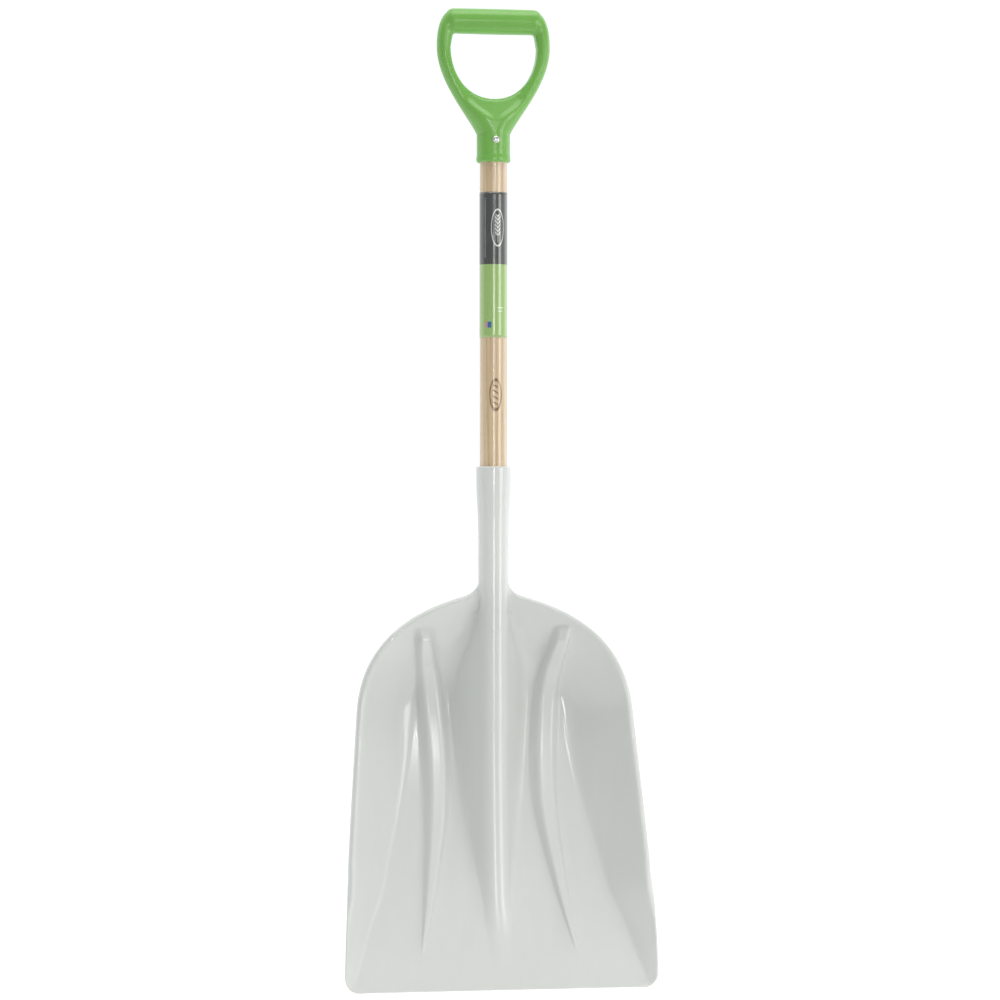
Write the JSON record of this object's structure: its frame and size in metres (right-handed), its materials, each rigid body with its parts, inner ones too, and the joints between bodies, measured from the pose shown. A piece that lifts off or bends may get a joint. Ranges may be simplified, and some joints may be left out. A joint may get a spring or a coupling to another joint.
{
  "type": "grain scoop shovel",
  "caption": "Wide moulded poly grain scoop with ribs and a rolled rim, on a short round ash shaft with a moulded D-grip.",
  "frame": {"origin": "middle of the scoop's front lip, on the narrow face of the lip's edge", "axes": "+Z runs from the lip up along the shaft to the D-grip, -Y is the open front of the scoop, X runs across it"},
  "size_m": [0.361, 0.1031, 1.1225],
  "materials": {
    "scoop_poly": "glossy injection-moulded polypropylene, near-white with a faint green-grey cast",
    "ash_wood": "pale sanded ash with a thin clear lacquer and a small burnt stamp",
    "grip_poly": "glossy injection-moulded polypropylene, leaf green",
    "rivet_steel": "zinc-plated steel, clenched",
    "screw_steel": "zinc-plated steel pan head",
    "label_film": null
  },
  "bodies": {
    "root": {"scoop_blade": "scoop_poly", "handle_shaft": "ash_wood", "d_grip": "grip_poly", "grip_rivet": "rivet_steel", "grip_rivet_burr": "rivet_steel", "socket_screw": "screw_steel", "label_wrap": "label_film"}
  },
  "joints": []
}
